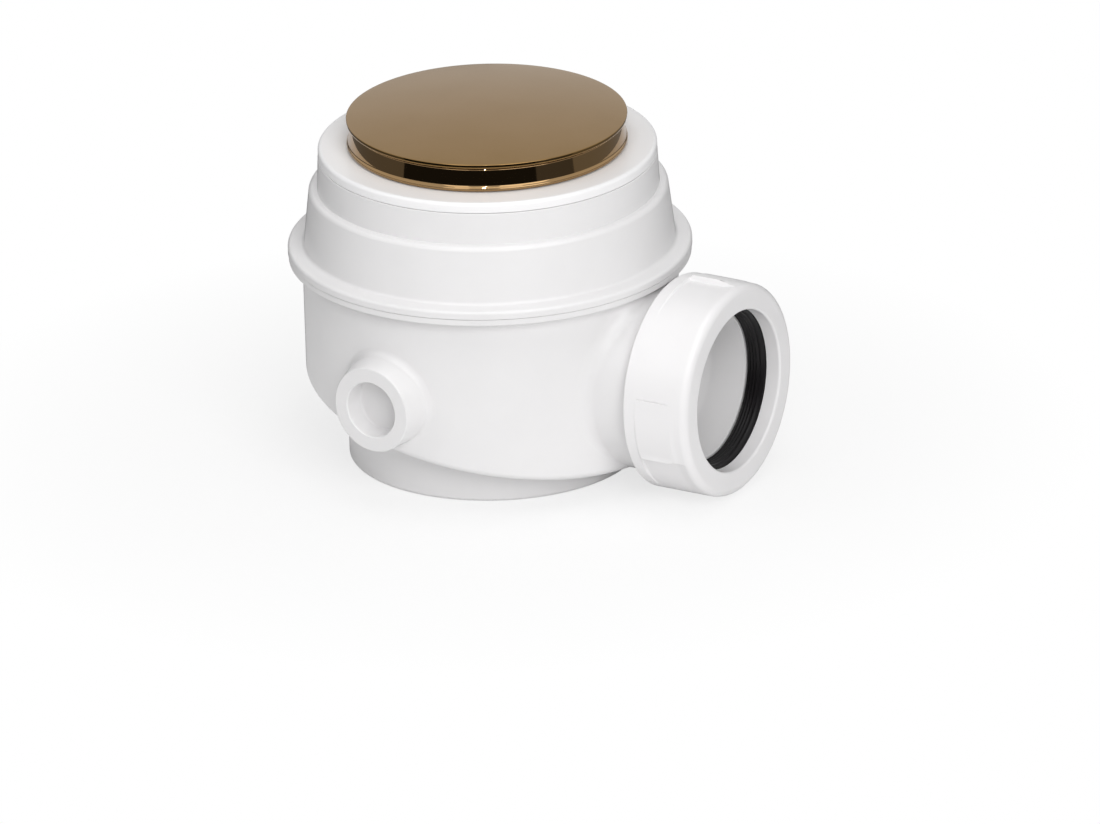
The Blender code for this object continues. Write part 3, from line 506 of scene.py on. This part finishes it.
def make_trap_body():
    body = turned("trap_body_fine", pot_outline, even_angles(FINE))
    neck = branch("neck", 0.0, NECK_RADIUS, 0.0, NECK_FILLET, NUT_FACE - NUT_LENGTH, NECK_EDGE, FINE)
    combine(body, neck, "UNION")
    thread = [(0.0, PIPE_STOP - WALL), (OUTLET_THREAD, PIPE_STOP - WALL)]
    thread += arc((OUTLET_THREAD - THREAD_ROUND, SEAL_SEAT - THREAD_ROUND), THREAD_ROUND, 0, 90, 4)
    thread.append((0.0, SEAL_SEAT))
    combine(body, ring("thread", thread, FAIR, TO_OUTLET), "UNION")
    boss = branch("boss", BOSS_FACING, BOSS_RADIUS, BOSS_FLARE, BOSS_FILLET, BOSS_FACE, BOSS_EDGE, FAIR)
    combine(body, boss, "UNION")
    start = CUP_RADIUS + BORE_START
    skirt_room = OUTLET_THREAD - SEAL_WALL - TOUCH
    skirt_end = SEAL_SEAT - SEAL_SKIRT - TOUCH
    bore = [(0.0, start), (OUTLET_BORE, start)]
    for share in (0.0, 0.1, 0.25, 0.4, 0.55, 0.7, 0.85, 1.0):
        widening = (PIPE_RADIUS + TOUCH - OUTLET_BORE) * eased(share)
        bore.append((OUTLET_BORE + widening, PIPE_STOP - STOP_LENGTH * (1 - share)))
    bore += [(PIPE_RADIUS + TOUCH, skirt_end), (skirt_room, skirt_end)]
    bore += [(skirt_room, SEAL_SEAT + WALL), (0.0, SEAL_SEAT + WALL)]
    combine(body, ring("bore", bore, FINE, TO_OUTLET), "DIFFERENCE")
    floor = BOSS_FACE - BOSS_DEPTH
    deep = BOSS_BORE - BLIND_DRAFT
    wide = BOSS_BORE + BLIND_LIP
    blind = [(0.0, floor)] + arc((deep - BLIND_ROUND, floor + BLIND_ROUND), BLIND_ROUND, -90, 0, 6)
    blind += [(deep, BOSS_FACE - BLIND_DRAFT - BLIND_LIP), (wide, BOSS_FACE)]
    blind += [(wide, BOSS_FACE + WALL), (0.0, BOSS_FACE + WALL)]
    combine(body, ring("blind", blind, FAIR, TO_BOSS), "DIFFERENCE")
    place(body, "trap", "trap_body", white_plastic)


def make_trap_cover():
    low = COVER_FOOT
    seat = POT_HEIGHT + SEAM
    tongue = pot_radius(POT_HEIGHT) - WALL - TOUCH
    tongue_foot = low - TONGUE_DEPTH
    inside = tongue - TONGUE_WALL
    thread = WASTE_THREAD + TOUCH
    hub = thread + HUB_WALL
    shoulder = TUBE_RADIUS + TOUCH
    flange_top = low + COVER_FLANGE_THICK
    step_top = low + CONE_HEIGHT
    deck_under = DECK_TOP - DECK_THICK
    deck_inside = DECK_RADIUS - WALL
    edge = 0.0009
    root = 0.0010
    turn = 0.0015
    corner = 0.0003
    wall = DECK_RADIUS + corner
    outline = [(tongue, tongue_foot), (tongue, seat)]
    outline += arc((COVER_FLANGE_RADIUS - SOFT, seat + SOFT), SOFT, -90, 0, 3)
    outline += arc((COVER_FLANGE_RADIUS - edge, flange_top - edge), edge, 0, 84, 8)
    outline += arc((CONE_FOOT_RADIUS + root, flange_top + root + edge / 4), root, 270, 180, 8)
    outline += arc((CONE_TOP_RADIUS - turn, step_top - turn), turn, 5, 86, 10)
    outline += [(wall + out, step_top + rise) for out, rise in DECK_ROOT]
    outline += arc((DECK_RADIUS - corner, DECK_TOP - corner), corner, 0, 90, 4)
    outline += [(thread, DECK_TOP), (thread, SHOULDER_TOP), (shoulder, SHOULDER_TOP)]
    outline += [(shoulder, HUB_FOOT), (hub, HUB_FOOT), (hub, deck_under), (deck_inside, deck_under)]
    outline += [(deck_inside, step_top - WALL), (inside, step_top - WALL - 2 * turn), (inside, tongue_foot)]
    place(ring("trap_cover_fine", outline), "trap", "trap_cover", white_plastic)


def make_washer():
    bore = WASTE_THREAD + TOUCH
    turn = 0.0010
    low = DECK_TOP + SEAM
    outline = [(bore, WASHER_TOP), (bore, low)]
    outline += arc((WASHER_RADIUS - SOFT, low + SOFT), SOFT, -90, 0, 3)
    outline += arc((WASHER_RADIUS - turn, WASHER_TOP - turn), turn, 0, 90, 10)
    place(ring("bath_washer_fine", outline), "trap", "bath_washer", washer_plastic)


def make_inlet_tube():
    bore = TUBE_RADIUS - TUBE_WALL
    outline = [(bore, TUBE_TOP), (bore, TUBE_FOOT)]
    outline += arc((TUBE_RADIUS - TUBE_WALL / 2, TUBE_FOOT + TUBE_WALL / 2), TUBE_WALL / 2, -90, 0, 6)
    outline += [(TUBE_RADIUS, TUBE_RIM_FOOT), (WASTE_THREAD, TUBE_RIM_FOOT), (WASTE_THREAD, TUBE_TOP)]
    place(ring("inlet_tube_fine", outline), "trap", "inlet_tube", white_plastic)


# Waste
def bowl_height(radius):
    """Top of the waste's bowl, which falls towards its throat."""
    throat = TAIL_BORE + BOWL_FALL
    return BOWL_THROAT + BOWL_FALL * (radius - throat) / (COLLAR_RADIUS - COLLAR_WALL - throat)


def make_waste_flange():
    inside = COLLAR_RADIUS - COLLAR_WALL
    groove_outer = GROOVE_INNER + GROOVE_WIDTH
    foot = WASHER_TOP + SEAM
    lip = 0.0007
    fillet = 0.0010
    flare = 0.0003
    edge = 0.0003
    root = 0.0006
    low = COLLAR_RADIUS + flare
    high = COLLAR_RADIUS - flare
    across = low + fillet - (FLANGE_RADIUS - lip)
    rise = math.sqrt((lip + fillet) ** 2 - across ** 2)
    turn = math.degrees(math.atan2(rise, across))
    outline = [(TAIL_BORE, TAIL_FOOT), (WASTE_THREAD, TAIL_FOOT), (WASTE_THREAD, FLANGE_FOOT)]
    outline += [(GROOVE_INNER, FLANGE_FOOT), (GROOVE_INNER, GROOVE_TOP)]
    outline += [(groove_outer, GROOVE_TOP), (groove_outer, foot)]
    outline += arc((FLANGE_RADIUS - lip, foot + lip), lip, -90, turn, 12)
    outline += arc((low + fillet, foot + lip + rise), fillet, 180 + turn, 188, 8)[1:]
    outline += arc((high - edge, COLLAR_TOP - edge), edge, 8, 90, 4)
    outline += arc((inside + edge, COLLAR_TOP - edge), edge, 90, 180, 4)
    outline += [(inside, bowl_height(inside) + root), (inside - root, bowl_height(inside - root))]
    outline += arc((TAIL_BORE + BOWL_FALL, BOWL_THROAT - BOWL_FALL), BOWL_FALL, 90, 180, 6)
    flange = ring("waste_flange_fine", outline)
    for number in range(2):
        spin = Matrix.Rotation(math.pi / 2 * number, 4, "Z")
        size = (2 * TAIL_BORE + ARM_ROOTS, ARM_WIDTH, ARM_HEIGHT)
        combine(flange, block("arm", size, (0, 0, TAIL_FOOT + ARM_HEIGHT / 2), spin), "UNION")
    low = TAIL_FOOT - TOUCH / 3
    high = TAIL_FOOT + ARM_HEIGHT + TOUCH
    combine(flange, ring("hub", [(0.0, low), (SOCKET, low), (SOCKET, high), (0.0, high)], FAIR), "UNION")
    hole = BARREL_RADIUS + TOUCH
    low -= WALL
    high += WALL
    combine(flange, ring("hole", [(0.0, low), (hole, low), (hole, high), (0.0, high)], FAIR), "DIFFERENCE")
    place(flange, "trap", "waste_flange", polished_bronze)


def make_plug():
    seat = CARRIER_RADIUS - PLUG_SEAL_WIDTH / 2
    seal_inner = seat + TOUCH
    seal_outer = seal_inner + PLUG_SEAL_WIDTH
    seal_foot = bowl_height(seal_outer) + TOUCH
    seal_web = seal_foot + PLUG_SEAL_THICK / 3
    seal_top = seal_foot + PLUG_SEAL_THICK
    ledge = seal_top + TOUCH
    carrier_top = CAP_FOOT - TOUCH
    carrier_foot = ledge - CARRIER_GRIP
    boss_foot = carrier_foot + TOUCH

    stem_hole = STEM_RADIUS + TOUCH
    hole_top = CAP_FOOT + CAP_EDGE / 3
    outline = [(0.0, hole_top), (stem_hole, hole_top), (stem_hole, boss_foot), (CAP_BOSS_RADIUS, boss_foot)]
    outline.append((CAP_BOSS_RADIUS, CAP_FOOT))
    turn = 2 * CAP_ROUND
    outline += arc((CAP_RADIUS - turn, CAP_FOOT + turn), turn, -90, 0, 8)
    turn = CAP_ROUND / 2
    outline += arc((CAP_RADIUS - turn, CAP_RIM_TOP - turn), turn, 0, 80, 5)
    for step in range(CURVE_STEPS - 1, -1, -1):
        share = step / CURVE_STEPS
        outline.append((CAP_RADIUS * share, CAP_RIM_TOP + CAP_CROWN * (1 - share ** 2)))
    place(ring("plug_cap_fine", outline), "plug", "plug_cap", cap_bronze)

    bore = CAP_BOSS_RADIUS + TOUCH
    outline = [(bore, carrier_foot), (seat, carrier_foot), (seat, ledge), (CARRIER_RADIUS, ledge)]
    outline += [(CARRIER_RADIUS, carrier_top), (bore, carrier_top)]
    place(ring("seal_carrier_fine", outline), "plug", "seal_carrier", grey_plastic)

    outline = [(seal_inner, seal_web), (seal_inner + PLUG_SEAL_WIDTH / 2, seal_web), (seal_outer, seal_foot)]
    outline += [(seal_outer, seal_web), (seal_outer - PLUG_SEAL_WIDTH / 4, seal_top), (seal_inner, seal_top)]
    place(ring("plug_seal_fine", outline), "plug", "plug_seal", black_rubber)


# Outlet nut
def grip_angles():
    """Even angles, with more of them across each grip's step."""
    angles = []
    pitch = FULL_TURN / NUT_GRIPS
    for number in range(NUT_GRIPS):
        step = GRIP_PHASE - pitch * number
        angles += [step - GRIP_EDGE * i / EDGE_STEPS for i in range(EDGE_STEPS)]
        count = FINE // NUT_GRIPS
        angles += [step - GRIP_EDGE - (pitch - GRIP_EDGE) * i / count for i in range(count)]
        angles += [step - GRIP_ARC + GRIP_MARK * side for side in (1.0, 0.3, -0.3, -1.0)]
    return sorted(set(angles), reverse=True)


def grip_offset(angle):
    """How far the nut's side stands out, or lies in, at an angle inside its grip band."""
    pitch = FULL_TURN / NUT_GRIPS
    turn = (GRIP_PHASE - angle) % pitch
    to_next = pitch - turn
    if turn < GRIP_EDGE:
        return (GRIP_RISE + GRIP_SCOOP) * eased(turn / GRIP_EDGE) - GRIP_SCOOP
    if turn < GRIP_ARC:
        return GRIP_RISE * (GRIP_ARC - turn) / (GRIP_ARC - GRIP_EDGE)
    if to_next < SCOOP_ARC:
        return -GRIP_SCOOP * math.cos(math.pi / 2 * to_next / SCOOP_ARC) ** 2
    return 0.0


def mark_depth(angle):
    """The fine line across the nut where a grip's ramp starts, and the bead on its crest."""
    turn = (GRIP_PHASE - angle) % (FULL_TURN / NUT_GRIPS)
    line = MARK_DEPTH * max(0.0, 1 - abs(turn - GRIP_ARC) / GRIP_MARK)
    return line - BEAD_HEIGHT * max(0.0, 1 - abs(turn - GRIP_EDGE) / GRIP_BEAD)


def make_outlet_nut():
    back = NUT_FACE - NUT_LENGTH
    thread = OUTLET_THREAD + TOUCH
    seat = NUT_FACE - NUT_FRONT
    clear_neck = NECK_RADIUS + TOUCH
    start = back + GRIP_START
    end = NUT_FACE - NUT_ROUND

    def outline(angle):
        lift = grip_offset(angle)
        points = [(thread, seat), (thread, back + 2 * NUT_EDGE), (clear_neck, back + TOUCH)]
        points += arc((NUT_RADIUS - NUT_EDGE, back + TOUCH + NUT_EDGE), NUT_EDGE, -90, 0, 5)
        for share in SOFT_SHARES:
            points.append((NUT_RADIUS + lift * eased(share), start + NUT_EDGE * share))
        mark = mark_depth(angle)
        points.append((NUT_RADIUS + lift - mark, start + MARK_START))
        points.append((NUT_RADIUS + lift - mark, start + MARK_END))
        points.append((NUT_RADIUS + lift, start + MARK_END + MARK_FADE))
        fade = GRIP_FADE if lift > 0 else SCOOP_FADE
        front = [(NUT_RADIUS, end - FADE_STEP * step) for step in range(FADE_STEPS, 0, -1)]
        front += arc((NUT_RADIUS - NUT_ROUND, end), NUT_ROUND, 0, 90, 12)
        for radius, height in front:
            points.append((radius + lift * (1 - eased((height - end + GRIP_END) / fade)), height))
        points += arc((NUT_MOUTH + MOUTH_ROUND, NUT_FACE - MOUTH_ROUND), MOUTH_ROUND, 90, 180, 8)
        points.append((NUT_MOUTH, seat))
        return points
    nut = turned("outlet_nut_fine", outline, grip_angles(), TO_OUTLET)
    pocket = block("pocket", POCKET_SIZE, (NUT_FACE, 0.0, 0.0))
    turn = Matrix.Translation((0, 0, OUTLET_HEIGHT)) @ Matrix.Rotation(POCKET_TURN, 4, "X")
    pocket.data.transform(turn @ Matrix.Translation((0, POCKET_INSET - NUT_MOUTH - MOUTH_ROUND, 0)))
    combine(nut, pocket, "DIFFERENCE")
    place(nut, "trap", "outlet_nut", nut_plastic)


def make_outlet_seal():
    face = NUT_FACE - NUT_FRONT - SEAM
    shoulder = SEAL_SEAT + TOUCH
    end = shoulder - SEAL_SKIRT
    skirt = OUTLET_THREAD - SEAL_WALL - 2 * TOUCH
    inner = PIPE_RADIUS + TOUCH + SEAL_LIP_HEIGHT
    tip = 0.0001
    turn = 0.0004
    outline = [(OUTLET_THREAD, face), (OUTLET_THREAD, shoulder), (skirt, shoulder), (skirt, end)]
    lip_pitch = SEAL_SKIRT / SEAL_LIPS
    for number in range(SEAL_LIPS):
        foot = end + lip_pitch * number
        outline += arc((inner - SEAL_LIP_HEIGHT * 0.8, foot + tip), tip, 270, 150, 4)
        outline.append((inner, foot + lip_pitch * 0.7))
        outline.append((inner, foot + lip_pitch * 0.95))
    outline.append((inner + tip, shoulder + turn))
    outline += arc((inner + SEAL_LIP_HEIGHT + turn, face - turn), turn, 160, 90, 4)
    seal = ring("outlet_seal_fine", outline, FINE, TO_OUTLET)
    place(seal, "trap", "outlet_seal", black_rubber)


make_trap_body()
make_trap_cover()
make_washer()
make_inlet_tube()
make_waste_flange()
make_plug()
make_outlet_nut()
make_outlet_seal()

# Floor, light and camera
AZIMUTH = math.radians(30.7)
ELEVATION = math.radians(21.75)
ROLL = math.radians(1.5)
DISTANCE = 8.0
SCALE = 3750.0          # pixels to a metre at the trap's axis
FRAME_WIDTH = 1100
FRAME_HEIGHT = 824
ORIGIN_AT = (495.5, 447.2)  # where the foot's middle lies in the picture
SENSOR_WIDTH = 36
FLOOR_SIZE = 15.0
FLOOR_DROP = 0.00005    # keeps the floor clear of the foot
SHADOW_NEAR = 0.05      # within this the floor's shadow shows fully
SHADOW_FAR = 0.16       # and beyond this not at all
FLOOR_GLOW = 0.72       # share of plain white that the floor shows near the foot
MIRRORED_WHITE = 0.94
LIT_POINT = Vector((0.01, 0, 0.05))
LAMP_DISTANCE = 1.2
CARD_TOP = 0.102


def toward(azimuth, elevation):
    """Unit vector to a direction, its azimuth counted from -Y towards +X."""
    level = math.cos(elevation)
    return Vector((math.sin(azimuth) * level, -math.cos(azimuth) * level, math.sin(elevation)))


def make_camera():
    back = toward(AZIMUTH, ELEVATION)
    level = Vector((math.cos(AZIMUTH), math.sin(AZIMUTH), 0))
    upright = back.cross(level)
    right = level * math.cos(ROLL) - upright * math.sin(ROLL)
    up = level * math.sin(ROLL) + upright * math.cos(ROLL)
    aim = right * ((FRAME_WIDTH / 2 - ORIGIN_AT[0]) / SCALE)
    aim += up * ((ORIGIN_AT[1] - FRAME_HEIGHT / 2) / SCALE)
    lens = bpy.data.cameras.new("camera")
    lens.sensor_width = SENSOR_WIDTH
    lens.lens = SCALE * DISTANCE * lens.sensor_width / FRAME_WIDTH
    lens.clip_start = 0.05
    lens.clip_end = 60
    camera = bpy.data.objects.new("camera", lens)
    axes = Matrix((right, up, back)).transposed().to_4x4()
    camera.matrix_world = Matrix.Translation(aim + back * DISTANCE) @ axes
    bpy.context.scene.collection.objects.link(camera)
    bpy.context.scene.camera = camera


make_camera()


def make_floor():
    shape = bmesh.new()
    bmesh.ops.create_grid(shape, x_segments=4, y_segments=4, size=FLOOR_SIZE)
    floor = as_object("floor", shape, Matrix.Translation((0, 0, -FLOOR_DROP)))
    material, tree, shader, add = new_material("floor")
    link = tree.links.new
    shader.inputs["Base Color"].default_value = (0.9, 0.9, 0.9, 1)
    shader.inputs["Roughness"].default_value = 0.9
    shader.inputs["Specular IOR Level"].default_value = 0.0
    path = add("ShaderNodeLightPath")
    glow = add("ShaderNodeEmission", Strength=1.0)
    where = add("ShaderNodeTexCoord")
    length = add("ShaderNodeVectorMath")
    length.operation = "LENGTH"
    link(where.outputs["Object"], length.inputs[0])
    reach = add("ShaderNodeMapRange")
    reach.inputs["From Min"].default_value = SHADOW_NEAR
    reach.inputs["From Max"].default_value = SHADOW_FAR
    reach.inputs["To Min"].default_value = FLOOR_GLOW
    link(length.outputs["Value"], reach.inputs["Value"])
    seen = add("ShaderNodeMath")
    seen.operation = "MULTIPLY"
    link(path.outputs["Is Camera Ray"], seen.inputs[0])
    link(reach.outputs["Result"], seen.inputs[1])
    mix = add("ShaderNodeMixShader")
    link(seen.outputs["Value"], mix.inputs["Fac"])
    link(shader.outputs["BSDF"], mix.inputs[1])
    link(glow.outputs["Emission"], mix.inputs[2])
    link(mix.outputs["Shader"], tree.nodes["Material Output"].inputs["Surface"])
    floor.data.materials.append(material)


make_floor()


def make_world(strength):
    """Soft light from all sides, and white where it is seen or mirrored."""
    world = bpy.data.worlds.new("studio")
    bpy.context.scene.world = world
    world.use_nodes = True
    tree = world.node_tree
    soft = tree.nodes["Background"]
    soft.inputs["Color"].default_value = (1, 1, 1, 1)
    soft.inputs["Strength"].default_value = strength
    white = tree.nodes.new("ShaderNodeBackground")
    white.inputs["Color"].default_value = (1, 1, 1, 1)
    white.inputs["Strength"].default_value = 1.0
    mirrored = tree.nodes.new("ShaderNodeBackground")
    mirrored.inputs["Color"].default_value = (1, 1, 1, 1)
    mirrored.inputs["Strength"].default_value = MIRRORED_WHITE
    path = tree.nodes.new("ShaderNodeLightPath")
    shown = soft
    for ray, look in (("Is Glossy Ray", mirrored), ("Is Camera Ray", white)):
        mix = tree.nodes.new("ShaderNodeMixShader")
        tree.links.new(path.outputs[ray], mix.inputs["Fac"])
        tree.links.new(shown.outputs[0], mix.inputs[1])
        tree.links.new(look.outputs["Background"], mix.inputs[2])
        shown = mix
    tree.links.new(shown.outputs[0], tree.nodes["World Output"].inputs["Surface"])


def softbox(name, azimuth, elevation, size, power, mirrored=True, spark=False):
    """A square area lamp that faces the trap. A spark shows only as a mirrored point of light."""
    lamp = bpy.data.lights.new(name, "AREA")
    lamp.shape = "SQUARE"
    lamp.size = size
    lamp.energy = power
    holder = bpy.data.objects.new(name, lamp)
    side = toward(math.radians(azimuth), math.radians(elevation))
    holder.location = LIT_POINT + side * LAMP_DISTANCE
    holder.rotation_mode = "QUATERNION"
    holder.rotation_quaternion = side.to_track_quat("Z", "Y")
    holder.visible_camera = False
    holder.visible_glossy = mirrored
    holder.visible_diffuse = not spark
    bpy.context.scene.collection.objects.link(holder)
    if spark:
        polished = bpy.data.collections.new(name)
        for piece in ("waste_flange_fine", "plug_cap_fine"):
            polished.objects.link(bpy.data.objects[piece])
        holder.light_linking.receiver_collection = polished


def card(name, start, end, radius, low, high, strength):
    """A curved card round the trap, which shows only as a reflection in what is polished."""
    material, _, shader, _ = new_material(name)
    shader.inputs["Base Color"].default_value = (0.0, 0.0, 0.0, 1)
    shader.inputs["Roughness"].default_value = 1.0
    shader.inputs["Specular IOR Level"].default_value = 0.0
    shader.inputs["Emission Color"].default_value = (1, 1, 1, 1)
    shader.inputs["Emission Strength"].default_value = strength
    shape = bmesh.new()
    columns = []
    for step in range(CURVE_STEPS + 1):
        angle = math.radians(start + (end - start) * step / CURVE_STEPS)
        side = toward(angle, 0.0) * radius
        columns.append([shape.verts.new(side + Vector((0, 0, height))) for height in (low, high)])
    for left, other in zip(columns, columns[1:]):
        shape.faces.new((left[0], other[0], other[1], left[1]))
    sheet = as_object(name, shape)
    sheet.data.materials.append(material)
    sheet.visible_camera = False
    sheet.visible_diffuse = False
    sheet.visible_shadow = False
    sheet.visible_transmission = False


make_world(0.25)
softbox("front", 45, 30, 0.6, 7.0, mirrored=False)
softbox("low", 50, 6, 0.6, 1.3, mirrored=False)
softbox("left", -45, 35, 0.6, 2.0, mirrored=False)
softbox("top", 30, 80, 0.9, 4.9)
softbox("spark", 27, 35, 0.025, 6.0, spark=True)
card("dark_front", -34, 66, 0.16, 0.0, CARD_TOP, 0.02)
card("dark_middle", 66, 97, 0.16, 0.0, CARD_TOP, 0.11)
card("dark_left", -150, -34, 0.16, 0.0, CARD_TOP, 0.18)
card("dark_right", 97, 180, 0.16, 0.0, CARD_TOP, 0.28)
card("glow_left", -5, 15, 0.5, 0.18, 0.55, 2.2)
card("glow_right", 40, 80, 0.5, 0.18, 0.55, 2.6)

bpy.context.scene.view_settings.view_transform = "Standard"
